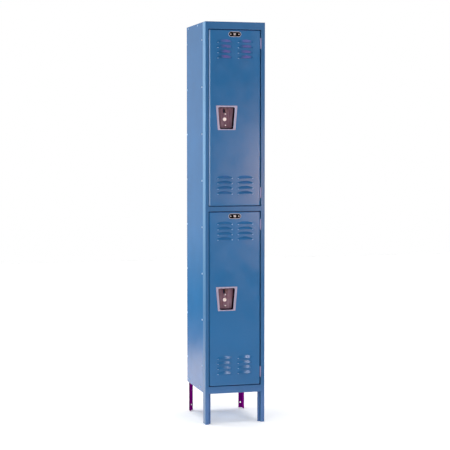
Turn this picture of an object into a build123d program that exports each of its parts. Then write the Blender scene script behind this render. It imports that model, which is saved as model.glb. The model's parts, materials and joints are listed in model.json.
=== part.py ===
"""Two-tier steel school locker: one bay wide, two doors hinged on the right, open legs.

Millimetres. The origin is the centre of the footprint on the floor, +Z is up, the doors face -Y
and +X is to the right for somebody who stands in front of the doors.
"""
from build123d import *
import os

# ---------------------------------------------------------------- driving dimensions
# Overall size: a 12 in wide, 15 in deep, 72 in tall body on 6 in legs
WIDTH, DEPTH, HEIGHT, LEG = 304.8, 381.0, 1981.2, 152.4
HALF, FRONT, REAR = WIDTH / 2, -DEPTH / 2, DEPTH / 2

# Sheet thicknesses, and the centre-line radius of a fold and of the frame's outer corner
FRAME_T, DOOR_T, CHANNEL_T, PANEL_T, POCKET_T = 1.5, 1.5, 1.2, 0.8, 0.8
FOLD, CORNER_FOLD, PANEL_FOLD = 1.6, 3.8, 1.2

# Door frame
LEFT_FACE, RIGHT_FACE = 17.0, 19.9
SIDE_FLANGE, LAP_END = 48.5, 74.0
RECESS, LIP, RAIL_LIP = 18.0, 13.0, 8.0
TOP_RAIL, MIDDLE_RAIL, BOTTOM_RAIL = 36.0, 25.0, 36.0
MIDDLE_RAIL_Z = 1067.5
RAIL_FLANGE = 40.0

# Hinges: five knuckles round one pin, in the gap to the right of the door
KNUCKLE_R, PIN_R, PIN_CLEARANCE = 2.7, 1.35, 0.05
HINGE_H, KNUCKLES, LEAF_T, LEAF_DEPTH = 50.8, 5, 1.2, 15.5
HINGE_PROUD, HINGE_FROM_END = 1.5, 63.0
HINGE_RIVETS_Z, HINGE_RIVET_BACK, HINGE_RIVET_HOLE_R, HINGE_RIVET_R = (-16.0, 16.0), 10.0, 1.6, 1.5
HINGE_RIVET_HEAD, HINGE_RIVET_TAIL, PIN_HEAD = (2.6, 0.7), (2.4, 1.0), (2.2, 0.9)

# Doors
DOOR_GAP, LEFT_GAP, DOOR_PROUD = 3.0, 3.9, 0.8
DOOR_BACK_GAP, DOOR_RETURN, DOOR_ROUND, DOOR_CORNER = 1.5, 12.0, 4.5, 4.8

# Louvres: four rows in two columns, near the top and near the bottom of each door
LOUVRE_W, LOUVRE_H, LOUVRE_BULGE, LOUVRE_PITCH, LOUVRE_ROWS = 80.0, 14.0, 6.0, 25.4, 4
LOUVRE_T, LOUVRE_FROM_TOP, LOUVRE_FROM_BOTTOM = 1.2, 60.5, 58.0
LOUVRE_X = (-55.5, 49.9)

# Recessed handle pocket
POCKET_X, POCKET_HALF_H, POCKET_HALF_W, POCKET_SLOPE = -44.3, 53.5, 38.4, 0.084
POCKET_LIP_TRIM = 3.2
POCKET_RIM, POCKET_SIDE_RIM, POCKET_DEPTH, POCKET_INSET = 8.0, 11.0, 21.8, 5.0
POCKET_COLLAR, POCKET_FIT = 3.5, 0.3
POCKET_CORNER, POCKET_FLOOR_R, POCKET_MOUTH_R, POCKET_RIM_CORNER = 6.0, 4.0, 2.6, 2.5
SLOT_W, SLOT_LOW, SLOT_HIGH = 22.0, 26.0, 48.5
LOCK_X, LOCK_COVER_X, LOCK_COVER_Z, LOCK_SCREWS_Z = -45.0, -49.0, -5.2, (20.5, -35.2)

LOCK_SCREW_R, LOCK_SCREW_HEAD_R, LOCK_SCREW_HEAD_H = 2.0, 3.6, 1.8
LOCK_COVER_R, LOCK_COVER_H, LOCK_STEM_R, LOCK_HOLE_PLAY = 9.5, 2.6, 3.0, 0.1

# Number plate near the top of each door
PLATE_X, PLATE_FROM_TOP, PLATE_W, PLATE_H = -3.0, 21.0, 63.5, 25.4
PLATE_T, PLATE_RIM_T, PLATE_RIM, PLATE_RIVETS_X = 0.6, 0.3, 1.5, (-20.5, 20.5)
PLATE_HOLE_R, PLATE_RIVET_R, PLATE_HEAD_R, PLATE_HEAD_H = 1.5, 1.4, 2.6, 1.2

# Latch: lock bar, clips and finger lift move up together
LIFT_TRAVEL = 8.5
BAR_W, BAR_T, CLIP_H = 14.0, 2.0, 22.0
CHANNEL_W = 24.0
HOOK_OFFSETS = (-290.0, 0.0, 290.0)
GUIDE_OFFSETS = (-190.0, 190.0)
CATCH_GAP = 1.0
PADLOCK_HOLE_R = 3.3
LIFT_X, LIFT_T, LIFT_H, LIFT_SETBACK = (-49.0, -37.0), 2.0, 11.5, 6.0

# Trays: top, shelf between the tiers, and bottom
TRAY_HALF_W, TRAY_FLANGE, BOTTOM_FLANGE = 150.0, 16.0, 25.0
TRAY_FLANGE_FRONT = -115.0

# Rear legs: angles with a narrow flange on the back and a deep one along the side
REAR_LEG_OUT, REAR_LEG_W, REAR_LEG_D, REAR_LEG_TOP = 143.7, 20.1, 40.0, 182.5
REAR_LEG_HOLE_R, REAR_LEG_HOLE_Z, REAR_LEG_BOLTS_Z = 4.0, 28.0, (161.0, 176.0)

# Coat hooks
HOOK_WIRE_R, HOOK_BEND_R, HOOK_TIP_R, HOOK_REACH = 2.8, 9.0, 4.2, 30.0
WALL_HOOK_X, WALL_HOOK_DROP = 70.0, 110.0

# Body bolts
BOLT_R, BOLT_HOLE_R, BOLT_HEAD_R, BOLT_HEAD_H = 2.4, 2.5, 4.6, 2.0
NUT_R, NUT_H = 4.6, 3.2
BOLT_PITCH, BOLT_ROWS, BOLT_MIDDLE_Z = 230.0, 8, 1090.0
FRONT_BOLT_Y, REAR_BOLT_Y = FRONT + 62.0, REAR - 9.0
TRAY_BOLTS_Y = {"top": (-41.5, 151.5), "bottom": (-82.5, 149.5)}
BACK_BOLT_X, BACK_FLANGE = 80.0, 18.0

# ---------------------------------------------------------------- worked out from those
LEFT_INNER, RIGHT_INNER = -HALF + LEFT_FACE, HALF - RIGHT_FACE
DOOR_X0, DOOR_X1 = LEFT_INNER + LEFT_GAP, RIGHT_INNER - 2 * KNUCKLE_R
DOOR_FRONT = FRONT - DOOR_PROUD
LIP_FRONT, LIP_REAR = FRONT + RECESS - FRAME_T, FRONT + RECESS
DOOR_BACK = LIP_FRONT - DOOR_BACK_GAP
HINGE_X, HINGE_Y = RIGHT_INNER - KNUCKLE_R, FRONT - HINGE_PROUD
LOWER_OPENING = (LEG + BOTTOM_RAIL, MIDDLE_RAIL_Z - MIDDLE_RAIL / 2)
UPPER_OPENING = (MIDDLE_RAIL_Z + MIDDLE_RAIL / 2, HEIGHT - TOP_RAIL)
DOOR_Z = {
    "upper": (UPPER_OPENING[0] + DOOR_GAP, UPPER_OPENING[1] - DOOR_GAP),
    "lower": (LOWER_OPENING[0] + DOOR_GAP, LOWER_OPENING[1] - DOOR_GAP),
}
TIERS = tuple(DOOR_Z)

PANEL_INNER = HALF - PANEL_T
REAR_LEG_X = REAR_LEG_OUT - REAR_LEG_W / 2
TOP_Z = HEIGHT - FRAME_T - 0.1
SHELF_Z = UPPER_OPENING[0] - FRAME_T
BOTTOM_Z = LOWER_OPENING[0] - FRAME_T
TRAY_TOPS = {"top": TOP_Z, "shelf": SHELF_Z, "bottom": BOTTOM_Z}

BAR_X0 = -110.0
BAR_X1 = BAR_X0 + BAR_W
CHANNEL_X0 = (BAR_X0 + BAR_X1) / 2 - CHANNEL_W / 2
CHANNEL_X1 = CHANNEL_X0 + CHANNEL_W
CHANNEL_REAR = -170.7
BAR_FRONT = CHANNEL_REAR + 0.4
BAR_REAR = BAR_FRONT + BAR_T
FLOOR_FRONT = DOOR_FRONT + POCKET_DEPTH
FLOOR_REAR = FLOOR_FRONT + POCKET_T
HOOK_FRONT, HOOK_REAR = LIP_REAR, CHANNEL_REAR
HOOK_X1 = -117.4
CLIP_X0 = HOOK_X1 + CATCH_GAP


# ---------------------------------------------------------------- building blocks
def block(x0, x1, y0, y1, z0, z1):
    """Box between two corners."""
    return Pos((x0 + x1) / 2, (y0 + y1) / 2, (z0 + z1) / 2) * Box(x1 - x0, y1 - y0, z1 - z0)


def rod(centre, radius, length, axis):
    """Cylinder that starts at centre and runs along a row axis, "+x" to "-z"."""
    turn = {
        "+x": Rot(0, 90, 0), "-x": Rot(0, -90, 0), "+y": Rot(-90, 0, 0),
        "-y": Rot(90, 0, 0), "+z": Rot(0, 0, 0), "-z": Rot(180, 0, 0),
    }[axis]
    return Pos(*centre) * turn * Pos(0, 0, length / 2) * Cylinder(radius, length)


def dome(centre, radius, height, axis):
    """Low domed head with its flat side at centre."""
    head = rod((0, 0, 0), radius, height, "+z")
    rim = head.edges().group_by(Axis.Z)[-1]
    head = fillet(rim, height * 0.85)
    turn = {
        "+x": Rot(0, 90, 0), "-x": Rot(0, -90, 0), "+y": Rot(-90, 0, 0), "-y": Rot(90, 0, 0),
    }[axis]
    return Pos(*centre) * turn * head


def folded(points, thickness, radius=FOLD):
    """Flat section of a folded sheet along a centre line."""
    return trace(FilletPolyline(*points, radius=radius), thickness)


def standing(points, thickness, z0, z1, radius=FOLD):
    """Folded sheet with its section in plan, standing from z0 to z1."""
    return extrude(Pos(0, 0, z0) * folded(points, thickness, radius), z1 - z0, dir=(0, 0, 1))


def lying(points, thickness, x0, x1, radius=FOLD):
    """Folded sheet with its section in the YZ plane, lying from x0 to x1."""
    section = Pos(x0, 0, 0) * (Plane.YZ * folded(points, thickness, radius))
    return extrude(section, x1 - x0, dir=(1, 0, 0))


def save(node, *solids):
    """Write one node; several solids become one group."""
    shape = solids[0] if len(solids) == 1 else Compound(children=list(solids))
    export_step(shape, f"parts/{node}.step")


def bolt_heights():
    """Heights of the bolts up a side."""
    low = BOLT_MIDDLE_Z - BOLT_PITCH * (BOLT_ROWS - 1) / 2
    return [low + BOLT_PITCH * row for row in range(BOLT_ROWS)]


def side_bolt_places():
    """(y, z, grip) of every bolt through a side; grip is the thickness held."""
    places = [(FRONT_BOLT_Y, z, PANEL_T + FRAME_T) for z in bolt_heights()]
    places += [(REAR_BOLT_Y, z, 2 * PANEL_T) for z in bolt_heights()]
    places += [(y, TOP_Z - 7.0, 2 * PANEL_T) for y in TRAY_BOLTS_Y["top"]]
    places += [(y, BOTTOM_Z - 15.0, 2 * PANEL_T) for y in TRAY_BOLTS_Y["bottom"]]
    return places


def side_drills(side):
    """Drills for the holes of one side, side being -1 on the left and +1 on the right."""
    axis = "+x" if side > 0 else "-x"
    return [rod((side * (HALF - 8), y, z), BOLT_HOLE_R, 12, axis) for y, z, _ in side_bolt_places()]


def back_bolt_places():
    """(x, z, grip) of every bolt through the back: two for each tray and two for each leg."""
    places = []
    for name, top in TRAY_TOPS.items():
        drop = 15.0 if name == "bottom" else 9.0
        places += [(x, top - drop, 2 * PANEL_T) for x in (-BACK_BOLT_X, BACK_BOLT_X)]
    return places


def leg_bolt_places():
    """(x, z, grip) of the bolts that hold the rear legs to the back."""
    return [(side * REAR_LEG_X, z, PANEL_T + FRAME_T) for side in (-1, 1) for z in REAR_LEG_BOLTS_Z]


def back_drills():
    places = back_bolt_places() + leg_bolt_places()
    return [rod((x, REAR - 8, z), BOLT_HOLE_R, 12, "+y") for x, z, _ in places]


def bolt(centre, grip, axis):
    """Truss-head bolt: the head's flat side is at centre and axis points out of the locker."""
    inward = axis.translate(str.maketrans("+-", "-+"))
    shank = rod(centre, BOLT_R, grip + NUT_H + 1.5, inward)
    return dome(centre, BOLT_HEAD_R, BOLT_HEAD_H, axis) + shank


def nut(centre, grip, axis):
    """Hex nut on the inner side of what the bolt holds."""
    hexagon = extrude(RegularPolygon(NUT_R, 6), NUT_H)
    hexagon -= rod((0, 0, -1), BOLT_R + 0.05, NUT_H + 2, "+z")
    turn = {"+x": Rot(0, -90, 0), "-x": Rot(0, 90, 0), "+y": Rot(90, 0, 0)}[axis]
    shift = {"+x": (-grip, 0, 0), "-x": (grip, 0, 0), "+y": (0, -grip, 0)}[axis]
    return Pos(*centre) * Pos(*shift) * turn * hexagon


# ---------------------------------------------------------------- door frame
def upright(side):
    """Front upright with its leg: side flange, face, return wall and strike lip in one sheet."""
    face = LEFT_FACE if side < 0 else RIGHT_FACE
    half = FRAME_T / 2
    plan = [(half, SIDE_FLANGE), (half, half), (face - half, half), (face - half, RECESS - half),
            (face + LIP, RECESS - half)]
    place = [(side * (HALF - u), FRONT + v) for u, v in plan]
    body = standing(place, FRAME_T, 0, HEIGHT - FRAME_T, radius=[CORNER_FOLD, 0, FOLD])
    lap_outer, lap_inner = side * PANEL_INNER, side * (PANEL_INNER - FRAME_T)
    lap = block(min(lap_outer, lap_inner), max(lap_outer, lap_inner),
                FRONT + SIDE_FLANGE - FRAME_T, FRONT + LAP_END, LEG, HEIGHT - FRAME_T)
    return (body + lap) - side_drills(side)


def rail(points, *lip_zones):
    """Horizontal frame member between the uprights, cut back where their lips stand."""
    member = lying(points, FRAME_T, LEFT_INNER, RIGHT_INNER)
    fold_start = LIP_REAR - FRAME_T / 2 - FOLD
    for z0, z1 in lip_zones:
        for x0, x1 in ((LEFT_INNER - 1, LEFT_INNER + LIP), (RIGHT_INNER - LIP, RIGHT_INNER + 1)):
            member -= block(x0, x1, fold_start, LIP_REAR + 1, z0, z1)
    return member


def frame_rails():
    half = FRAME_T / 2
    face_y, lip_y, flange_y = FRONT + half, LIP_REAR - half, FRONT + RAIL_FLANGE
    low, high = UPPER_OPENING[1], HEIGHT - half
    top = rail([(lip_y, low - RAIL_LIP), (lip_y, low + half), (face_y, low + half), (face_y, high),
                (flange_y, high)], (low - RAIL_LIP - 1, low + 4))
    top += block(-HALF, HALF, FRONT, flange_y, HEIGHT - FRAME_T, HEIGHT)
    low, high = LOWER_OPENING[1], UPPER_OPENING[0]
    middle = rail([(lip_y, low - RAIL_LIP), (lip_y, low + half), (face_y, low + half),
                   (face_y, high - half), (lip_y, high - half), (lip_y, high + RAIL_LIP)],
                  (low - RAIL_LIP - 1, low + 4), (high - 4, high + RAIL_LIP + 1))
    low, high = LEG + half, LOWER_OPENING[0]
    bottom = rail([(lip_y, high + RAIL_LIP), (lip_y, high - half), (face_y, high - half), (face_y, low),
                   (flange_y, low)], (high - 4, high + RAIL_LIP + 1), (LEG - 1, LEG + 3))
    return top, middle, bottom


def frame_hooks(tier):
    """Steel catch plates on the back of the left strike lip, with a step that the clip drops behind."""
    middle = sum(DOOR_Z[tier]) / 2
    hooks = []
    for offset in HOOK_OFFSETS:
        z = middle + offset
        plate = block(LEFT_INNER, LEFT_INNER + LIP, HOOK_FRONT, HOOK_REAR, z - 20, z + 16)
        tooth = block(LEFT_INNER + LIP, HOOK_X1, HOOK_FRONT, HOOK_REAR, z - 12, z + 3)
        hooks.append(fillet((plate + tooth).edges().filter_by(Axis.Y), 1.2))
    return hooks


def silencers(tier):
    """Rubber buttons in the strike lip, which the closed door rests near."""
    middle = sum(DOOR_Z[tier]) / 2
    x = LEFT_INNER + LIP / 2 + 0.6
    return [dome((x, LIP_FRONT, middle + offset + 40), 3.2, 1.2, "-y") for offset in HOOK_OFFSETS]


# ---------------------------------------------------------------- body panels
def side_panel(side):
    outer, inner = side * HALF, side * PANEL_INNER
    sheet = block(min(outer, inner), max(outer, inner), FRONT + SIDE_FLANGE, REAR, LEG, HEIGHT)
    return sheet - side_drills(side)


def back_panel():
    half = PANEL_T / 2
    x, y = PANEL_INNER - half, REAR - half
    plan = [(-x, REAR - BACK_FLANGE), (-x, y), (x, y), (x, REAR - BACK_FLANGE)]
    sheet = standing(plan, PANEL_T, LEG, TOP_Z, radius=PANEL_FOLD)
    return sheet - side_drills(-1) - side_drills(1) - back_drills()


def tray(name):
    """Horizontal sheet with flanges turned down at both sides and at the back."""
    top = TRAY_TOPS[name]
    drop = BOTTOM_FLANGE if name == "bottom" else TRAY_FLANGE
    half = PANEL_T / 2
    x, rear = PANEL_INNER - half, REAR - BACK_FLANGE - 0.5
    section = [(-x, top - drop), (-x, top - half), (x, top - half), (x, top - drop)]
    profile = Plane.XZ * folded(section, PANEL_T, PANEL_FOLD)
    pan = extrude(Pos(0, TRAY_FLANGE_FRONT, 0) * profile, rear - TRAY_FLANGE_FRONT, dir=(0, 1, 0))
    front = FRONT + 2 * FRAME_T if name == "shelf" else LIP_REAR + 0.5
    pan += block(LEFT_INNER + LIP + 0.5, RIGHT_INNER - LIP - 0.5, front, LIP_REAR + 1.0,
                 top - PANEL_T, top)
    pan += block(-TRAY_HALF_W, TRAY_HALF_W, LIP_REAR + 0.5, TRAY_FLANGE_FRONT + 1, top - PANEL_T, top)
    pan += block(-TRAY_HALF_W, TRAY_HALF_W, rear - 1, REAR - PANEL_T, top - PANEL_T, top)
    reach = BACK_BOLT_X + 30
    pan += block(-reach, reach, REAR - 2 * PANEL_T, REAR - PANEL_T, top - drop, top)
    return pan - side_drills(-1) - side_drills(1) - back_drills()


def rear_leg(side):
    """Angle in the rear corner of the body, bolted to the back through its narrow flange."""
    half = FRAME_T / 2
    outer, inner = REAR_LEG_OUT - half, REAR_LEG_OUT - REAR_LEG_W
    rear = REAR - PANEL_T - half
    plan = [(outer, rear + half - REAR_LEG_D), (outer, rear), (inner, rear)]
    leg = standing([(side * x, y) for x, y in plan], FRAME_T, 0, REAR_LEG_TOP)
    leg -= rod((side * REAR_LEG_X, rear - 4, REAR_LEG_HOLE_Z), REAR_LEG_HOLE_R, 8, "+y")
    return leg - back_drills()


# ---------------------------------------------------------------- coat hooks
def wire_hook(points, radius):
    """Bent round wire along filleted straight runs."""
    path = FilletPolyline(*points, radius=HOOK_BEND_R)
    start = path.position_at(0)
    section = Plane(origin=start, z_dir=path.tangent_at(0)) * Circle(radius)
    return sweep(section, path)


def ceiling_hook(top):
    """Double-prong hook under a tray: plate, stem and two upturned prongs."""
    y = 20.0
    plate = block(-10, 10, y - 22, y + 22, top - 2.5, top)
    plate = fillet(plate.edges().filter_by(Axis.Z), 6)
    ends = (y - HOOK_REACH, y + HOOK_REACH)
    prongs = [wire_hook([(0, y, top - 1), (0, y, top - 42), (0, end, top - 42), (0, end, top - 18)],
                        HOOK_WIRE_R) for end in ends]
    hook = plate + prongs
    tips = [Pos(0, end, top - 18) * Sphere(HOOK_TIP_R) for end in ends]
    return hook + tips


def wall_hook(x, z):
    """Single-prong hook on the back panel."""
    wall = REAR - PANEL_T
    plate = block(x - 9, x + 9, wall - 2.0, wall, z - 20, z + 20)
    plate = fillet(plate.edges().filter_by(Axis.Y), 6)
    tip = wall - HOOK_REACH - 2
    prong = wire_hook([(x, wall - 1, z - 8), (x, tip, z - 8), (x, tip, z + 16)], HOOK_WIRE_R)
    return plate + prong + Pos(x, tip, z + 16) * Sphere(HOOK_TIP_R)


# ---------------------------------------------------------------- doors
def louvre_solid(inset, depth):
    """Half ellipse of the slit, swept up and back past the door's face, kept in front of depth."""
    lean = (0, LOUVRE_BULGE, LOUVRE_H)
    half = LOUVRE_W / 2 - inset
    in_front = Pos(0, -LOUVRE_BULGE) * Rectangle(3 * half, 2 * LOUVRE_BULGE)
    section = Ellipse(half, LOUVRE_BULGE - inset) & in_front
    section += Pos(0, depth) * Rectangle(2 * half, 2 * depth)
    sheet = block(-LOUVRE_W, LOUVRE_W, -2 * LOUVRE_BULGE, depth, 0, 2 * LOUVRE_H)
    return extrude(section, 3 * LOUVRE_H, dir=lean) & sheet


def louvre_places(tier):
    low, high = DOOR_Z[tier]
    rows = [high - LOUVRE_FROM_TOP - LOUVRE_PITCH * row for row in range(LOUVRE_ROWS)]
    rows += [low + LOUVRE_FROM_BOTTOM + LOUVRE_PITCH * row for row in range(LOUVRE_ROWS)]
    return [(x, z) for z in rows for x in LOUVRE_X]


def pocket_half_width(z):
    return POCKET_HALF_W + POCKET_SLOPE * z


def pocket_outline(grow, inset, drop, y):
    """Trapezium of the pocket at depth y, grown outwards and drawn in at the sides and bottom."""
    top, bottom = POCKET_HALF_H + grow - drop * 0.2, -POCKET_HALF_H - grow + drop
    right_top = pocket_half_width(top) + grow - inset
    right_bottom = pocket_half_width(bottom) + grow - inset
    points = [(-right_top, top), (right_top, top), (right_bottom, bottom), (-right_bottom, bottom)]
    plane = Plane(origin=(POCKET_X, y, 0), x_dir=(1, 0, 0), z_dir=(0, -1, 0))
    return plane * make_face(Polyline(*points, close=True))


def pocket_blank(grow, front, corner, floor):
    """Solid that fills the pocket: rounded corners, rounded floor edge, open at the front."""
    back = FLOOR_FRONT + grow
    mouth = pocket_outline(grow, 0, 0, front)
    blank = loft([mouth, pocket_outline(grow, POCKET_INSET, POCKET_INSET, back)], ruled=True)
    ends = blank.edges().group_by(Axis.Y)
    corners = [e for e in blank.edges() if e not in ends[0] and e not in ends[-1]]
    blank = fillet(corners, corner)
    return fillet(blank.edges().group_by(Axis.Y)[-1], floor)


def handle_pocket(tier):
    """Drawn cup with a flat rim on the door, a rolled mouth and a slot for the finger lift."""
    z = sum(DOOR_Z[tier]) / 2
    front = DOOR_FRONT - POCKET_T
    wider = POCKET_SIDE_RIM - POCKET_RIM
    rim = extrude(pocket_outline(POCKET_RIM, -wider, POCKET_LIP_TRIM, front), POCKET_T, dir=(0, 1, 0))
    rim = fillet(rim.edges().filter_by(Axis.Y), POCKET_RIM_CORNER)
    collar = extrude(pocket_outline(POCKET_COLLAR, 0, 0, front), POCKET_T + POCKET_COLLAR, dir=(0, 1, 0))
    cup = rim + collar + pocket_blank(POCKET_T, front, POCKET_CORNER + POCKET_T, POCKET_FLOOR_R + POCKET_T)
    cup -= pocket_blank(0, front, POCKET_CORNER, POCKET_FLOOR_R)
    mouth = [e for e in cup.edges() if abs(e.center().Y - front) < 0.01
             and abs(e.center().X - POCKET_X) < pocket_half_width(e.center().Z) + 1
             and abs(e.center().Z) < POCKET_HALF_H + 1]
    cup = fillet(mouth, POCKET_MOUTH_R)
    cup -= block(LOCK_X - SLOT_W / 2, LOCK_X + SLOT_W / 2, FLOOR_FRONT - 1, FLOOR_REAR + 1,
                 SLOT_LOW, SLOT_HIGH)
    for height in LOCK_SCREWS_Z:
        cup -= rod((LOCK_X, FLOOR_FRONT - 1, height), LOCK_SCREW_R + LOCK_HOLE_PLAY, 4, "+y")
    cup -= rod((LOCK_COVER_X, FLOOR_FRONT - 1, LOCK_COVER_Z), LOCK_STEM_R + LOCK_HOLE_PLAY, 4, "+y")
    return Pos(0, 0, z) * cup


def door_panel(tier):
    """Folded pan: rounded front, walls, return flange, louvres and the hole for the pocket."""
    low, high = DOOR_Z[tier]
    pan = block(DOOR_X0, DOOR_X1, DOOR_FRONT, DOOR_BACK, low, high)
    pan = fillet(pan.edges().filter_by(Axis.Y), DOOR_CORNER)
    pan = fillet(pan.edges().group_by(Axis.Y)[0], DOOR_ROUND)
    hollow = block(DOOR_X0 + DOOR_T, DOOR_X1 - DOOR_T, DOOR_FRONT + DOOR_T, DOOR_BACK - DOOR_T,
                   low + DOOR_T, high - DOOR_T)
    hollow = fillet(hollow.edges().group_by(Axis.Y)[0], DOOR_ROUND - DOOR_T)
    window = block(DOOR_X0 + DOOR_RETURN, DOOR_X1 - DOOR_RETURN, DOOR_BACK - DOOR_T - 1, DOOR_BACK + 1,
                   low + DOOR_RETURN, high - DOOR_RETURN)
    pan = pan - hollow - window
    middle = (low + high) / 2
    opening = pocket_outline(POCKET_COLLAR + POCKET_FIT, 0, 0, DOOR_FRONT - 1)
    pan -= Pos(0, 0, middle) * extrude(opening, DOOR_T + 2, dir=(0, 1, 0))
    bulge, hollow = louvre_solid(0, DOOR_T / 2), louvre_solid(LOUVRE_T, DOOR_T + 1)
    places = louvre_places(tier)
    pan += [Pos(x, DOOR_FRONT, z) * bulge for x, z in places]
    pan -= [Pos(x, DOOR_FRONT, z) * hollow for x, z in places]
    for z in hinge_heights(tier):
        for offset in HINGE_RIVETS_Z:
            pan -= rod((DOOR_X1 - 4, HINGE_Y + HINGE_RIVET_BACK, z + offset), HINGE_RIVET_HOLE_R, 6, "+x")
    return pan


def latch_channel(tier):
    """Channel inside the door that stiffens it and carries the lock bar."""
    low, high = DOOR_Z[tier]
    half = CHANNEL_T / 2
    x0, x1, rear = CHANNEL_X0 + half, CHANNEL_X1 - half, CHANNEL_REAR - half
    inner = DOOR_FRONT + DOOR_T
    body = standing([(x0, inner), (x0, rear), (x1, rear), (x1, inner)], CHANNEL_T, low + 14, high - 14)
    middle = (low + high) / 2
    reach = POCKET_HALF_H + POCKET_COLLAR + 3
    edge = POCKET_X - pocket_half_width(POCKET_HALF_H) - POCKET_COLLAR - 1.0
    return body - block(edge, CHANNEL_X1 + 1, DOOR_FRONT, -165, middle - reach, middle + reach)


def bar_guides(tier):
    """Straps on the back of the channel that the lock bar slides through."""
    middle = sum(DOOR_Z[tier]) / 2
    guides = []
    for offset in GUIDE_OFFSETS:
        z = middle + offset
        strap = block(CHANNEL_X0 + 0.5, CHANNEL_X1 - 0.5, CHANNEL_REAR, BAR_REAR + 1.4, z - 9, z + 9)
        strap = fillet(strap.edges().filter_by(Axis.Z).group_by(Axis.Y)[-1], 1.2)
        way = block(BAR_X0 - 0.4, BAR_X1 + 0.4, CHANNEL_REAR - 1, BAR_REAR + 0.4, z - 10, z + 10)
        guides.append(strap - way)
    return guides


def lock_screws(tier):
    z = sum(DOOR_Z[tier]) / 2
    screws = []
    for height in LOCK_SCREWS_Z:
        at = (LOCK_X, FLOOR_FRONT, z + height)
        head = dome(at, LOCK_SCREW_HEAD_R, LOCK_SCREW_HEAD_H, "-y")
        screws.append(head + rod(at, LOCK_SCREW_R, 3.0, "+y"))
    return screws


def lock_cover(tier):
    """Domed disc over the hole for a built-in lock, held by its own stem."""
    at = (LOCK_COVER_X, FLOOR_FRONT, sum(DOOR_Z[tier]) / 2 + LOCK_COVER_Z)
    return dome(at, LOCK_COVER_R, LOCK_COVER_H, "-y") + rod(at, LOCK_STEM_R, 2.0, "+y")


def plate_slab(tier, width, height, front, thickness):
    """Round-ended slab of the number plate that stands out from y = front."""
    origin = (PLATE_X, front, DOOR_Z[tier][1] - PLATE_FROM_TOP)
    plane = Plane(origin=origin, x_dir=(1, 0, 0), z_dir=(0, -1, 0))
    return extrude(plane * SlotOverall(width, height), thickness, dir=(0, -1, 0))


def number_plate(tier):
    """Aluminium plate with a raised rim round a sunk field."""
    plate = plate_slab(tier, PLATE_W, PLATE_H, DOOR_FRONT, PLATE_T + PLATE_RIM_T)
    plate -= plate_slab(tier, PLATE_W - 2 * PLATE_RIM, PLATE_H - 2 * PLATE_RIM, DOOR_FRONT - PLATE_T, 1.0)
    for x in PLATE_RIVETS_X:
        at = (PLATE_X + x, DOOR_FRONT + 1, DOOR_Z[tier][1] - PLATE_FROM_TOP)
        plate -= rod(at, PLATE_HOLE_R, 4, "-y")
    return plate


def plate_rivets(tier):
    rivets = []
    for x in PLATE_RIVETS_X:
        at = (PLATE_X + x, DOOR_FRONT - PLATE_T, DOOR_Z[tier][1] - PLATE_FROM_TOP)
        rivets.append(dome(at, PLATE_HEAD_R, PLATE_HEAD_H, "-y") + rod(at, PLATE_RIVET_R, PLATE_T, "+y"))
    return rivets


# ---------------------------------------------------------------- hinges
def hinge_heights(tier):
    low, high = DOOR_Z[tier]
    return low + HINGE_FROM_END, high - HINGE_FROM_END


def hinge_leaf(z, side):
    """One leaf: side is -1 for the door's (two knuckles) and +1 for the frame's (three)."""
    edge = HINGE_X + side * KNUCKLE_R
    x0, x1 = sorted((edge, edge - side * LEAF_T))
    root = HINGE_Y + KNUCKLE_R + 0.5
    leaf = block(x0, x1, root, HINGE_Y + LEAF_DEPTH, z - HINGE_H / 2, z + HINGE_H / 2)
    step = HINGE_H / KNUCKLES
    for number in range(KNUCKLES):
        if (number % 2 == 0) != (side > 0):
            continue
        low = z - HINGE_H / 2 + number * step + 0.15
        high = low + step - 0.3
        leaf += block(x0, x1, HINGE_Y, root + 1, low, high)
        leaf += rod((HINGE_X, HINGE_Y, low), KNUCKLE_R, high - low, "+z")
    return leaf - rod((HINGE_X, HINGE_Y, z - HINGE_H), PIN_R + PIN_CLEARANCE, 2 * HINGE_H, "+z")


def door_leaf(z):
    leaf = hinge_leaf(z, -1)
    for offset in HINGE_RIVETS_Z:
        leaf -= rod((DOOR_X1 - 1, HINGE_Y + HINGE_RIVET_BACK, z + offset), HINGE_RIVET_HOLE_R, 6, "+x")
    return leaf


def hinge_pin(z):
    length = HINGE_H + 1.0
    pin = rod((HINGE_X, HINGE_Y, z - length / 2), PIN_R, length, "+z")
    radius, height = PIN_HEAD
    heads = [rod((HINGE_X, HINGE_Y, z - length / 2 - height), radius, height, "+z"),
             rod((HINGE_X, HINGE_Y, z + length / 2), radius, height, "+z")]
    return pin + heads


def hinge_rivets(tier):
    """Rivets through the door's leaf and the door's wall."""
    rivets = []
    y = HINGE_Y + HINGE_RIVET_BACK
    for z in hinge_heights(tier):
        for offset in HINGE_RIVETS_Z:
            outside, inside = (DOOR_X1 + LEAF_T, y, z + offset), (DOOR_X1 - DOOR_T, y, z + offset)
            head, tail = rod(outside, *HINGE_RIVET_HEAD, "+x"), rod(inside, *HINGE_RIVET_TAIL, "-x")
            rivets.append(head + rod(outside, HINGE_RIVET_R, LEAF_T + DOOR_T, "-x") + tail)
    return rivets


# ---------------------------------------------------------------- latch
def lock_bar(tier):
    low, high = DOOR_Z[tier]
    bar = block(BAR_X0, BAR_X1, BAR_FRONT, BAR_REAR, low + 60, high - 60)
    return fillet(bar.edges().filter_by(Axis.Y), 3)


def latch_clips(tier):
    """Clips riveted to the bar; each tongue stands behind its frame hook while the bar is down."""
    middle = sum(DOOR_Z[tier]) / 2
    clips = []
    for offset in HOOK_OFFSETS:
        z = middle + offset
        body = block(CLIP_X0, BAR_X1 - 1, BAR_REAR, BAR_REAR + 3, z - CLIP_H / 2, z + CLIP_H / 2)
        tongue = block(CLIP_X0, BAR_X0 - 0.1, BAR_FRONT + 0.2, BAR_REAR + 1, z - CLIP_H / 2, z + CLIP_H / 2)
        clip = body + tongue
        clips.append(fillet(clip.edges().filter_by(Axis.Z).group_by(Axis.Y)[-1], 1.0))
    return clips


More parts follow.
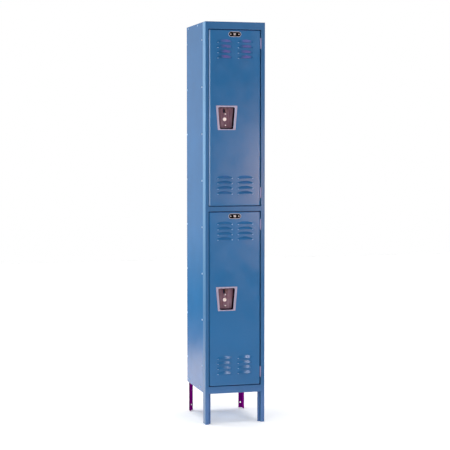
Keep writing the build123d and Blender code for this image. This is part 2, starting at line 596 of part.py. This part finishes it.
def finger_lift(tier):
    """Bent plate behind the pocket with a shelf, an upturned lip and a padlock ear through the slot."""
    plate_front, plate_rear = BAR_REAR, BAR_REAR + LIFT_T
    x0, x1 = LIFT_X
    bottom, front = SLOT_LOW + 1.5, DOOR_FRONT + LIFT_SETBACK
    top, bridge = bottom + LIFT_H, SLOT_HIGH + 1.0
    plate = block(BAR_X0 + 1, x1 + 3, plate_front, plate_rear, bridge, bridge + LIFT_H)
    plate += block(x0, x1 + 3, plate_front, plate_rear, bottom - 1, bridge + 1)
    shelf = block(x0, x1, front, plate_front + 1, bottom, bottom + LIFT_T)
    lip = block(x0, x1, front, front + LIFT_T, bottom, top)
    lip = fillet(lip.edges().filter_by(Axis.Y).group_by(Axis.Z)[-1], 3)
    ear = block(x0, x0 + LIFT_T, front, plate_front + 1, bottom, top)
    lift = plate + shelf + lip + ear
    eye_y = (front + LIFT_T + FLOOR_FRONT) / 2
    lift -= rod((x0 - 1, eye_y, bottom + LIFT_T + PADLOCK_HOLE_R + 1.4), PADLOCK_HOLE_R, 4, "+x")
    return Pos(0, 0, sum(DOOR_Z[tier]) / 2) * lift


# ---------------------------------------------------------------- export
def export_cabinet():
    save("frame_upright_left", upright(-1))
    save("frame_upright_right", upright(1))
    for name, member in zip(("top", "middle", "bottom"), frame_rails()):
        save(f"frame_{name}_rail", member)
    save("side_panel_left", side_panel(-1))
    save("side_panel_right", side_panel(1))
    save("back_panel", back_panel())
    save("top_panel", tray("top"))
    save("middle_shelf", tray("shelf"))
    save("bottom_panel", tray("bottom"))
    save("rear_leg_left", rear_leg(-1))
    save("rear_leg_right", rear_leg(1))
    for name, side, axis in (("left", -1, "-x"), ("right", 1, "+x")):
        places = [((side * HALF, y, z), grip) for y, z, grip in side_bolt_places()]
        save(f"side_bolts_{name}", *[bolt(at, grip, axis) for at, grip in places])
        save(f"side_nuts_{name}", *[nut(at, grip, axis) for at, grip in places])
    places = [((x, REAR, z), grip) for x, z, grip in back_bolt_places() + leg_bolt_places()]
    save("back_bolts", *[bolt(at, grip, "+y") for at, grip in places])
    save("back_nuts", *[nut(at, grip, "+y") for at, grip in places])
    ceilings = (TOP_Z - PANEL_T, SHELF_Z - PANEL_T)
    save("ceiling_hooks", *[ceiling_hook(top) for top in ceilings])
    places = [(x, top - WALL_HOOK_DROP) for top in ceilings for x in (-WALL_HOOK_X, WALL_HOOK_X)]
    save("wall_hooks", *[wall_hook(x, z) for x, z in places])
    for tier in TIERS:
        save(f"{tier}_frame_hooks", *frame_hooks(tier))
        save(f"{tier}_door_silencers", *silencers(tier))
        save(f"{tier}_hinge_frame_leaves", *[hinge_leaf(z, 1) for z in hinge_heights(tier)])
        save(f"{tier}_hinge_pins", *[hinge_pin(z) for z in hinge_heights(tier)])


def export_door(tier):
    save(f"{tier}_door_panel", door_panel(tier))
    save(f"{tier}_latch_channel", latch_channel(tier))
    save(f"{tier}_bar_guides", *bar_guides(tier))
    save(f"{tier}_handle_pocket", handle_pocket(tier))
    save(f"{tier}_lock_screws", *lock_screws(tier))
    save(f"{tier}_lock_hole_cover", lock_cover(tier))
    save(f"{tier}_number_plate", number_plate(tier))
    save(f"{tier}_plate_rivets", *plate_rivets(tier))
    save(f"{tier}_hinge_door_leaves", *[door_leaf(z) for z in hinge_heights(tier)])
    save(f"{tier}_hinge_rivets", *hinge_rivets(tier))
    save(f"{tier}_lock_bar", lock_bar(tier))
    save(f"{tier}_latch_clips", *latch_clips(tier))
    save(f"{tier}_finger_lift", finger_lift(tier))


os.makedirs("parts", exist_ok=True)
export_cabinet()
for each in TIERS:
    export_door(each)
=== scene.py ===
import json
import math

import bmesh
import bpy
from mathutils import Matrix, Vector


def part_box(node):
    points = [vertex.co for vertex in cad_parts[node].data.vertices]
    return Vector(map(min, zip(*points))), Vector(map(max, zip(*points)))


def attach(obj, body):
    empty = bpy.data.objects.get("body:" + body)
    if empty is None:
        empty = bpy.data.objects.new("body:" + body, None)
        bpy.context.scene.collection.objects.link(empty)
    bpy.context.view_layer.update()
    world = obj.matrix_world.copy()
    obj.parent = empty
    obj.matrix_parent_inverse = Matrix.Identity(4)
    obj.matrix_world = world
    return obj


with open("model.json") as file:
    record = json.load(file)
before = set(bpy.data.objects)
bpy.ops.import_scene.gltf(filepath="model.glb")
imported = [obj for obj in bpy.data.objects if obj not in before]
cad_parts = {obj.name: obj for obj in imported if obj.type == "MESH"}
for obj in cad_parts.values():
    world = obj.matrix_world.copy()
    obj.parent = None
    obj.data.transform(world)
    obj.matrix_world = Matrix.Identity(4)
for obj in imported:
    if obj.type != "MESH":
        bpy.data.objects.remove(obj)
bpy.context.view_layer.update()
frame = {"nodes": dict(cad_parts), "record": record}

TIERS = ("upper", "lower")
NODES = frame["nodes"]
CUP_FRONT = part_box("upper_handle_pocket")[0][1]
FRAME_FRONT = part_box("frame_upright_left")[0][1]
DOOR_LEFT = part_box("upper_door_panel")[0][0]
TIER_SPLIT = (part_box("upper_door_panel")[0][2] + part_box("lower_door_panel")[1][2]) / 2


# ---------------------------------------------------------------- camera
CAMERA_PLACE = Vector((-1.771, -6.502, 1.385))
CAMERA_YAW, CAMERA_PITCH = math.radians(15.23), math.radians(-3.47)
LENS, SENSOR = 106.6, 36.0


def make_camera():
    data = bpy.data.cameras.new("camera")
    data.lens, data.sensor_width = LENS, SENSOR
    camera = bpy.data.objects.new("camera", data)
    camera.location = CAMERA_PLACE
    camera.rotation_euler = (math.pi / 2 + CAMERA_PITCH, 0, -CAMERA_YAW)
    bpy.context.collection.objects.link(camera)
    bpy.context.scene.camera = camera


# ---------------------------------------------------------------- node helpers
def colour_socket(sockets, name=None):
    """The colour socket of a Mix node, which has one of every type under the same name."""
    return next(one for one in sockets if one.type == "RGBA" and name in (None, one.name))


class Nodes:
    """A node tree under construction: adds nodes and links them."""

    def __init__(self, tree):
        self.tree = tree

    def add(self, kind, **settings):
        node = self.tree.nodes.new(kind)
        for key, value in settings.items():
            setattr(node, key, value)
        return node

    def link(self, source, target):
        self.tree.links.new(source, target)

    def axis(self, source, letter):
        """One component of a vector output."""
        split = self.add("ShaderNodeSeparateXYZ")
        self.link(source, split.inputs[0])
        return split.outputs[letter]

    def ramp(self, factor, low, high, start=0.0, end=1.0, curve="LINEAR"):
        """Maps a factor between start and end to a number between low and high."""
        node = self.add("ShaderNodeMapRange", interpolation_type=curve)
        for key, value in zip(("From Min", "From Max", "To Min", "To Max"), (start, end, low, high)):
            node.inputs[key].default_value = value
        self.link(factor, node.inputs["Value"])
        return node.outputs["Result"]

    def math(self, operation, first, second):
        node = self.add("ShaderNodeMath", operation=operation)
        for socket, value in zip(node.inputs, (first, second)):
            if isinstance(value, (int, float)):
                socket.default_value = value
            else:
                self.link(value, socket)
        return node.outputs[0]

    def mix(self, factor, first, second):
        """Mixes two colours; each is a tuple or a socket."""
        node = self.add("ShaderNodeMix", data_type="RGBA")
        self.link(factor, node.inputs["Factor"])
        for key, value in (("A", first), ("B", second)):
            socket = colour_socket(node.inputs, key)
            if isinstance(value, tuple):
                socket.default_value = (*value, 1.0)
            else:
                self.link(value, socket)
        return colour_socket(node.outputs)


class Shader(Nodes):
    """A material under construction, in the coordinates of the frame."""

    def __init__(self, name):
        self.material = bpy.data.materials.new(name)
        self.material.use_nodes = True
        super().__init__(self.material.node_tree)
        self.bsdf = self.tree.nodes["Principled BSDF"]
        self.place = self.add("ShaderNodeTexCoord").outputs["Object"]

    def scaled(self, scale):
        """Object coordinates stretched along the axes."""
        mapping = self.add("ShaderNodeMapping")
        mapping.inputs["Scale"].default_value = scale
        self.link(self.place, mapping.inputs["Vector"])
        return mapping.outputs["Vector"]

    def along(self, letter):
        """Where a point lies along one axis of the frame."""
        return self.axis(self.place, letter)

    def facing(self, letter):
        """How far the surface faces along one axis."""
        return self.axis(self.add("ShaderNodeNewGeometry").outputs["Normal"], letter)

    def size_of(self, value):
        return self.math("ABSOLUTE", value, 0.0)

    def both(self, first, second):
        return self.math("MULTIPLY", first, second)

    def noise(self, scale, detail=3.0, stretch=(1, 1, 1), roughness=0.5):
        node = self.add("ShaderNodeTexNoise")
        node.inputs["Scale"].default_value = scale
        node.inputs["Detail"].default_value = detail
        node.inputs["Roughness"].default_value = roughness
        self.link(self.scaled(stretch), node.inputs["Vector"])
        return node.outputs["Fac"]

    def edges(self, radius):
        """1 along sharp edges and 0 on flat ground, from how far a bevelled normal turns."""
        bevel = self.add("ShaderNodeBevel", samples=4)
        bevel.inputs["Radius"].default_value = radius
        geometry = self.add("ShaderNodeNewGeometry")
        turn = self.add("ShaderNodeVectorMath", operation="DOT_PRODUCT")
        self.link(bevel.outputs["Normal"], turn.inputs[0])
        self.link(geometry.outputs["Normal"], turn.inputs[1])
        return self.ramp(turn.outputs["Value"], 1.0, 0.0, 0.80, 0.99)

    def bump(self, height, strength, distance, radius=0.0):
        node = self.add("ShaderNodeBump")
        node.inputs["Strength"].default_value = strength
        node.inputs["Distance"].default_value = distance
        self.link(height, node.inputs["Height"])
        if radius:
            bevel = self.add("ShaderNodeBevel", samples=4)
            bevel.inputs["Radius"].default_value = radius
            self.link(bevel.outputs["Normal"], node.inputs["Normal"])
        self.link(node.outputs["Normal"], self.bsdf.inputs["Normal"])

    def set(self, **values):
        for key, value in values.items():
            self.bsdf.inputs[key.replace("_", " ")].default_value = value

    def drive(self, socket, output):
        self.link(output, self.bsdf.inputs[socket])


# ---------------------------------------------------------------- materials
# Heights and depths in metres between which one tone of the enamel turns into the next
# Painted light: heights over which the foot tone fades out and the side highlight fades in.
FOOT_LIGHT_FADE, SIDE_HIGHLIGHT_FADE = (0.12, 0.20), (0.35, 1.35)
# Painted shade: the depths and the widths between which faces behind the front turn dark.
RECESS_SHADE_FADE, RECESS_SHADE_SIDE = (FRAME_FRONT + 0.006, FRAME_FRONT + 0.014), (0.1485, 0.1500)
# Painted highlight along the upper door's left edge: its width, and the height below which it stops.
EDGE_HIGHLIGHT_WIDTH, EDGE_HIGHLIGHT_SPLIT = (DOOR_LEFT + 0.003, DOOR_LEFT + 0.005), (TIER_SPLIT - 0.01, TIER_SPLIT + 0.01)
DARKER, LIGHTER = 0.88, 1.12
# Depths in the cup where the bright rim turns into the walls of painted shade, and those turn into the
# floor.
CUP_RIM_FADE, CUP_FLOOR_FADE = (0.0012, 0.0022), (0.0195, 0.0212)


def shade(colour, factor, lift=0.0):
    """A colour made lighter or darker."""
    return tuple(min(1.0, part * factor + lift) for part in colour)


def paint(name, colour, worn, roughness=0.17, gloss=0.28, peel=0.10,
          side=None, recess_shade=None, foot_light=None, outer_shade=None, edge_highlight=None):
    """Baked enamel: slow colour drift, fine orange peel and worn edges, with painted light and shade on
    some faces.

    side: painted highlight, a lighter tone on the faces that look sideways, fading toward the floor.
    recess: painted shade, a dark tone on the faces deep behind the front. outer: painted shade, a darker
    tone on the faces on the outside.
    foot: painted light, a lighter tone low on the front. rubbed: painted highlight, a light tone along the
    upper door's left edge.
    """
    look = Shader(name)
    drift = look.ramp(look.noise(3.0, 4.0), 0.0, 1.0, 0.3, 0.7)
    base = look.mix(drift, colour, shade(colour, DARKER))
    # Painted highlight: faces that look sideways get a lighter tone, strongest high up.
    if side:
        sideways = look.ramp(look.size_of(look.facing("X")), 0.0, 1.0, 0.6, 0.95)
        height = look.ramp(look.along("Z"), 0.30, 1.0, *SIDE_HIGHLIGHT_FADE)
        base = look.mix(look.both(sideways, height), base, side)
    # Painted shade: faces deep behind the front, between the uprights, turn dark.
    if recess_shade:
        deep = look.ramp(look.along("Y"), 0.0, 1.0, *RECESS_SHADE_FADE)
        inside = look.ramp(look.size_of(look.along("X")), 1.0, 0.0, *RECESS_SHADE_SIDE)
        base = look.mix(look.both(deep, inside), base, recess_shade)
    # Painted highlight: a light tone on the left-facing edge of the upper door.
    if edge_highlight:
        edge = look.ramp(look.along("X"), 1.0, 0.0, *EDGE_HIGHLIGHT_WIDTH)
        leftward = look.ramp(look.facing("X"), 1.0, 0.0, -0.40, -0.20)
        upper = look.ramp(look.along("Z"), 0.0, 1.0, *EDGE_HIGHLIGHT_SPLIT)
        base = look.mix(look.both(look.both(edge, leftward), upper), base, edge_highlight)
    # Painted shade: faces that look outward get a darker tone.
    if outer_shade:
        outward = look.both(look.along("X"), look.facing("X"))
        base = look.mix(look.ramp(outward, 0.0, 1.0, 0.06, 0.12), base, outer_shade)
    # Painted light: front faces low down get a lighter tone.
    if foot_light:
        low = look.ramp(look.along("Z"), 1.0, 0.0, *FOOT_LIGHT_FADE)
        forward = look.ramp(look.facing("Y"), 1.0, 0.0, -0.9, -0.5)
        base = look.mix(look.both(low, forward), base, foot_light)
    speck = look.ramp(look.noise(55.0, 5.0, roughness=0.7), 0.0, 0.35, 0.55, 0.8)
    base = look.mix(speck, base, shade(colour, LIGHTER))
    wear = look.both(look.edges(0.0008), look.ramp(look.noise(90.0, 4.0), 0.0, 0.8, 0.45, 0.7))
    look.drive("Base Color", look.mix(wear, base, worn))
    look.drive("Roughness", look.ramp(look.noise(14.0, 3.0), roughness - 0.03, roughness + 0.05, 0.3, 0.7))
    look.set(Specular_IOR_Level=gloss)
    look.bump(look.noise(420.0, 2.0), peel, 0.0004, radius=0.0007)
    return look.material


def metal(name, colour, grain, roughness, anisotropy=0.0, scratch=0.05, metallic=1.0):
    """Brushed or plated metal: streaks along the grain, patchy sheen and a fine scratch bump."""
    look = Shader(name)
    streak = look.noise(60.0, 6.0, stretch=grain, roughness=0.65)
    patch = look.noise(12.0, 3.0)
    base = look.mix(look.ramp(streak, 0.0, 1.0, 0.25, 0.75), shade(colour, 0.72), colour)
    base = look.mix(look.ramp(patch, 0.0, 0.35, 0.4, 0.7), base, shade(colour, 1.15))
    look.drive("Base Color", base)
    look.drive("Roughness", look.ramp(streak, roughness * 0.8, roughness * 1.3, 0.2, 0.8))
    look.set(Metallic=metallic, Anisotropic=anisotropy)
    look.bump(streak, scratch, 0.0003, radius=0.0005)
    return look.material


def cup_steel():
    """Drawn stainless cup: bright rolled rim whose light tone is partly a painted highlight, near-black
    walls of painted shade, and a brushed, tarnished floor.
    """
    look = Shader("stainless")
    depth = look.math("SUBTRACT", look.along("Y"), CUP_FRONT)
    brushed = look.noise(90.0, 6.0, stretch=(1, 1, 0.10), roughness=0.7)
    blotch = look.noise(28.0, 3.0)
    floor = look.mix(look.ramp(brushed, 0.0, 1.0, 0.36, 0.64), (0.15, 0.075, 0.11), (0.34, 0.22, 0.27))
    floor = look.mix(look.ramp(blotch, 0.0, 0.45, 0.45, 0.7), floor, (0.24, 0.10, 0.12))
    rim = look.mix(look.ramp(brushed, 0.0, 1.0, 0.3, 0.7), (0.33, 0.32, 0.44), (0.47, 0.46, 0.62))
    # Painted shade: the walls inside the cup are nearly black.
    wall = look.mix(look.ramp(blotch, 0.0, 1.0, 0.3, 0.7), (0.010, 0.003, 0.008), (0.03, 0.015, 0.025))
    inner = look.mix(look.ramp(depth, 0.0, 1.0, *CUP_FLOOR_FADE), wall, floor)
    look.drive("Base Color", look.mix(look.ramp(depth, 0.0, 1.0, *CUP_RIM_FADE), rim, inner))
    look.drive("Roughness", look.ramp(brushed, 0.36, 0.50, 0.3, 0.7))
    look.drive("Metallic", look.ramp(depth, 0.20, 0.06, *CUP_RIM_FADE))
    look.set(Specular_IOR_Level=0.0)
    look.bump(brushed, 0.10, 0.0003, radius=0.0006)
    return look.material


def moulded(name, colour, roughness, gloss=0.25):
    """Moulded plastic or rubber with a fine matt grain."""
    look = Shader(name)
    grain = look.noise(600.0, 3.0)
    patch = look.ramp(look.noise(40.0), 0.0, 1.0, 0.3, 0.7)
    look.drive("Base Color", look.mix(patch, colour, shade(colour, 1.5, lift=0.01)))
    look.drive("Roughness", look.ramp(grain, roughness - 0.08, roughness + 0.08, 0.3, 0.7))
    look.set(Specular_IOR_Level=gloss)
    look.bump(grain, 0.2, 0.0002, radius=0.0004)
    return look.material


PAINT = {
    # The door's light edge tone is a painted highlight.
    "door": paint("door_enamel", (0.032, 0.182, 0.425), (0.14, 0.27, 0.44), edge_highlight=(0.42, 0.58, 0.82)),
    # The frame's side tone is a painted highlight, its recess tone painted shade and its foot tone painted
    # light.
    "frame": paint("frame_enamel", (0.052, 0.180, 0.395), (0.20, 0.36, 0.55), gloss=0.14,
                   side=(0.22, 0.49, 0.82), recess_shade=(0.012, 0.020, 0.065), foot_light=(0.105, 0.225, 0.490)),
    "panel": paint("panel_enamel", (0.036, 0.238, 0.575), (0.16, 0.32, 0.55), roughness=0.11, peel=0.03),
    # The leg's outer tone is painted shade.
    "leg": paint("leg_enamel", (0.320, 0.003, 0.270), (0.30, 0.05, 0.28), roughness=0.35, gloss=0.0,
                 outer_shade=(0.110, 0.001, 0.095)),
}
# Painted highlight: the nibs' pale colour stands for glints at the louvre slit ends.
NIB_HIGHLIGHT_PAINT = paint("nib_highlight_enamel", (0.36, 0.60, 0.88), (0.50, 0.68, 0.90), roughness=0.3)
BRIGHT = metal("polished_steel", (0.95, 0.93, 0.95), (1, 1, 1), 0.42, scratch=0.02, metallic=0.3)
PLATE_BLACK = moulded("plate_enamel", (0.002, 0.002, 0.003), 0.6, gloss=0.0)
SLOT_MATERIALS = {
    "door_paint": PAINT["door"],
    "frame_paint": PAINT["frame"],
    "panel_paint": PAINT["panel"],
    "leg_paint": PAINT["leg"],
    "bright_steel": BRIGHT,
    "stainless": cup_steel(),
    "zinc_plate": metal("zinc_plate", (0.50, 0.72, 0.95), (1, 1, 1), 0.30, metallic=0.2),
    "hinge_steel": metal("hinge_steel", (0.34, 0.32, 0.54), (1, 1, 0.2), 0.50, metallic=0.2),
    "lift_steel": metal("lift_steel", (0.16, 0.09, 0.12), (1, 1, 0.2), 0.45, metallic=0.2),
    "plate_aluminium": metal("plate_aluminium", (0.66, 0.67, 0.74), (0.1, 1, 1), 0.45, metallic=0.2),
    "nylon": moulded("nylon", (0.02, 0.02, 0.022), 0.5),
    "rubber": moulded("rubber", (0.015, 0.015, 0.015), 0.75),
}


def placed(name, mesh):
    """Turns a finished bmesh into an object of the scene."""
    data = bpy.data.meshes.new(name)
    mesh.to_mesh(data)
    mesh.free()
    piece = bpy.data.objects.new(name, data)
    bpy.context.collection.objects.link(piece)
    return piece


def finish_piece(piece, tier, material):
    """Gives a piece its material and lets it ride on the door of its tier."""
    piece.data.materials.append(material)
    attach(piece, f"{tier}_door")


def dress_nodes():
    """Gives every CAD node its material from its slot in the record."""
    slots = {entry["node"]: entry["material_slot"] for entry in frame["record"]["subparts"]}
    for name, node in NODES.items():
        node.data.materials.clear()
        node.data.materials.append(SLOT_MATERIALS[slots[name]])


# ---------------------------------------------------------------- number plates
FIGURES = {"upper": "21", "lower": "22"}
PLATE_FLOOR, PLATE_EDGE, FIELD_T = 0.0003, 0.0032, 0.0002
FIGURE_SIZE, FIGURE_EXTRUDE, FIGURE_BEVEL, FIGURE_OFFSET = 0.0125, 0.0001, 0.00012, 0.0004
ARC_STEPS = 16


def stadium(name, centre, width, height, thickness, y_front):
    """Flat slab with round ends, facing -Y."""
    mesh = bmesh.new()
    radius = height / 2
    outline = []
    for side in (1, -1):
        for step in range(ARC_STEPS + 1):
            angle = side * (math.pi / 2 - step * math.pi / ARC_STEPS)
            x = side * (width / 2 - radius) + radius * math.cos(angle) * side
            outline.append((centre[0] + x, centre[2] + radius * math.sin(angle)))
    front = [mesh.verts.new((x, y_front, z)) for x, z in outline]
    back = [mesh.verts.new((x, y_front + thickness, z)) for x, z in outline]
    mesh.faces.new(front)
    mesh.faces.new(back[::-1])
    for i in range(len(front)):
        j = (i + 1) % len(front)
        mesh.faces.new((front[j], front[i], back[i], back[j]))
    bmesh.ops.recalc_face_normals(mesh, faces=mesh.faces)
    return placed(name, mesh)


def dress_plate(tier):
    """Black field and raised figures of one number plate."""
    low, high = (Vector(corner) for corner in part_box(f"{tier}_number_plate"))
    centre = (low + high) / 2
    floor_y = low.y + PLATE_FLOOR
    field = stadium(f"{tier}_plate_field", centre, high.x - low.x - PLATE_EDGE,
                    high.z - low.z - PLATE_EDGE, FIELD_T, floor_y - FIELD_T / 2)
    finish_piece(field, tier, PLATE_BLACK)
    text = bpy.data.curves.new(f"{tier}_figures", "FONT")
    text.body, text.size, text.offset = FIGURES[tier], FIGURE_SIZE, FIGURE_OFFSET
    text.extrude, text.bevel_depth = FIGURE_EXTRUDE, FIGURE_BEVEL
    text.align_x = text.align_y = "CENTER"
    figures = bpy.data.objects.new(f"{tier}_plate_figures", text)
    figures.location = (centre.x, floor_y - FIELD_T, centre.z)
    figures.rotation_euler = (math.pi / 2, 0, 0)
    bpy.context.collection.objects.link(figures)
    finish_piece(figures, tier, BRIGHT)


# ---------------------------------------------------------------- louvre ends
LOUVRE_ENDS_X = (-0.0885, -0.0165, 0.0155, 0.0889)
LOUVRE_FROM_TOP, LOUVRE_FROM_BOTTOM, LOUVRE_PITCH, LOUVRE_ROWS = 0.0605, 0.058, 0.0254, 4
NIB_RADIUS, NIB_HEIGHT, NIB_SQUASH = 0.0033, 0.0016, 0.8


def dress_louvres(tier):
    """Small nibs at the ends of the louvre slits, painted pale as a painted highlight for the glints
    there; on the upper door's top rows and the lower door's bottom rows only the left ends get one.
    """
    low, high = (Vector(corner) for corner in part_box(f"{tier}_door_panel"))
    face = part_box(f"{tier}_number_plate")[1][1]
    left_ends = LOUVRE_ENDS_X[::2]
    top_ends, bottom_ends = (left_ends, LOUVRE_ENDS_X) if tier == "upper" else (LOUVRE_ENDS_X, left_ends)
    steps = [LOUVRE_PITCH * row for row in range(LOUVRE_ROWS)]
    places = [(x, high.z - LOUVRE_FROM_TOP - step) for x in top_ends for step in steps]
    places += [(x, low.z + LOUVRE_FROM_BOTTOM + step) for x in bottom_ends for step in steps]
    mesh = bmesh.new()
    for x, z in places:
        made = bmesh.ops.create_uvsphere(mesh, u_segments=16, v_segments=10, radius=1.0)["verts"]
        bmesh.ops.scale(mesh, vec=(NIB_RADIUS, NIB_HEIGHT, NIB_RADIUS * NIB_SQUASH), verts=made)
        bmesh.ops.translate(mesh, vec=(x, face, z), verts=made)
    for polygon in mesh.faces:
        polygon.smooth = True
    finish_piece(placed(f"{tier}_louvre_glint_nibs", mesh), tier, NIB_HIGHLIGHT_PAINT)


# ---------------------------------------------------------------- stage
FLOOR_HALF = 9.0
FLOOR_GLOW = 0.36
WHITE = (1.0, 1.0, 1.0)
REAR_FADE = (-0.2, 0.4)
REAR_BAND = (
    (-1.000, (1.18, 0.98, 0.84)), (-0.159, (1.38, 1.10, 0.92)), (-0.150, (0.30, 0.22, 0.20)),
    (-0.118, (0.06, 0.12, 0.16)), (-0.060, (0.48, 0.43, 0.38)), (0.020, (0.54, 0.45, 0.38)),
    (0.180, (0.50, 0.43, 0.36)), (0.550, (0.12, 0.12, 0.12)), (1.000, (0.12, 0.12, 0.12)),
)
FRONT_BAND = (
    (-1.000, (2.4, 1.5, 1.3)), (-0.205, (2.4, 1.5, 1.3)), (-0.160, (0.04, 0.05, 0.05)),
    (1.000, (0.04, 0.05, 0.05)),
)


def aim(lamp, place, target):
    lamp.location = place
    lamp.rotation_euler = (Vector(target) - Vector(place)).to_track_quat("-Z", "Y").to_euler()
    bpy.context.collection.objects.link(lamp)


def softbox(name, place, target, size, radiance, colour=WHITE):
    """Rectangular light of an even radiance, size being its width and height in metres."""
    data = bpy.data.lights.new(name, "AREA")
    data.shape, data.size, data.size_y = "RECTANGLE", size[0], size[1]
    data.energy, data.color = radiance * math.pi * size[0] * size[1], colour
    lamp = bpy.data.objects.new(name, data)
    aim(lamp, place, target)
    return lamp


def sheen(*settings):
    """Softbox that only shows as a reflection."""
    softbox(*settings).visible_diffuse = False


def overhead(strength, spread):
    """Soft parallel light from above; it draws the shadow under the locker but no reflections."""
    data = bpy.data.lights.new("overhead", "SUN")
    data.energy, data.angle = strength, math.radians(spread)
    lamp = bpy.data.objects.new("overhead", data)
    aim(lamp, (0.0, 0.2, 6.0), (0.0, 0.0, 0.0))
    lamp.visible_glossy = False


def make_floor():
    data = bpy.data.meshes.new("floor")
    corners = [(x, y, 0) for y in (-FLOOR_HALF, FLOOR_HALF) for x in (-FLOOR_HALF, FLOOR_HALF)]
    data.from_pydata(corners, [], [(0, 1, 3, 2)])
    floor = bpy.data.objects.new("floor", data)
    bpy.context.collection.objects.link(floor)
    floor.visible_glossy = False
    look = Shader("pale_floor")
    look.drive("Base Color", look.mix(look.noise(2.0), (0.88, 0.88, 0.88), (0.90, 0.90, 0.90)))
    look.set(Roughness=0.9, Specular_IOR_Level=0.0)
    look.set(Emission_Color=(*WHITE, 1.0), Emission_Strength=FLOOR_GLOW)
    data.materials.append(look.material)


def bands(nodes, height, levels):
    """Colours by height of a direction, from -1 straight down to 1 straight up."""
    made = nodes.add("ShaderNodeValToRGB")
    stops = made.color_ramp.elements
    while len(stops) < len(levels):
        stops.new(0.5)
    for stop, (level, colour) in zip(stops, levels):
        stop.position, stop.color = (level + 1) / 2, (*colour, 1.0)
    nodes.link(height, made.inputs["Fac"])
    return made.outputs["Color"]


def make_world():
    """White backdrop; the reflections see a dim room with a pale floor and wall behind the locker."""
    world = bpy.data.worlds.new("studio")
    world.use_nodes = True
    nodes = Nodes(world.node_tree)
    direction = nodes.add("ShaderNodeTexCoord").outputs["Generated"]
    height = nodes.ramp(nodes.axis(direction, "Z"), 0.0, 1.0, -1.0, 1.0)
    rearward = nodes.ramp(nodes.axis(direction, "Y"), 0.0, 1.0, *REAR_FADE, curve="SMOOTHSTEP")
    room = nodes.mix(rearward, bands(nodes, height, FRONT_BAND), bands(nodes, height, REAR_BAND))
    seen = nodes.add("ShaderNodeLightPath").outputs["Is Camera Ray"]
    nodes.link(nodes.mix(seen, room, WHITE), nodes.tree.nodes["Background"].inputs["Color"])
    bpy.context.scene.world = world


def make_stage():
    make_floor()
    make_world()
    overhead(strength=2.1, spread=46.0)
    softbox("front_left", (-2.9, -4.3, 2.2), (0, 0, 1.0), (1.4, 1.4), 6.6)
    side_fill = softbox("side_fill", (-3.4, 1.6, 1.6), (0, 0, 1.0), (1.6, 1.6), 5.4, (0.92, 0.98, 1.0))
    side_fill.visible_glossy = False
    softbox("high_right", (1.65, -3.4, 2.6), (0, -0.2, 0.3), (0.9, 0.45), 16.0, (1.0, 0.9, 1.0))
    sheen("right_card", (2.25, -5.2, 1.05), (0, -0.2, 1.2), (1.1, 0.9), 26.0, (1.0, 0.60, 0.38))
    sheen("left_strip", (-2.33, -1.2, 1.58), (-0.15, -0.2, 1.58), (3.2, 1.25), 9.0, (0.66, 0.88, 1.0))
    sheen("hood_card", (1.6, -2.9, 5.0), (0, -0.2, 1.87), (1.6, 1.0), 5.5, (0.90, 0.02, 0.50))
    bpy.context.scene.view_settings.view_transform = "Standard"


make_camera()
make_stage()
dress_nodes()
for tier in TIERS:
    dress_plate(tier)
    dress_louvres(tier)
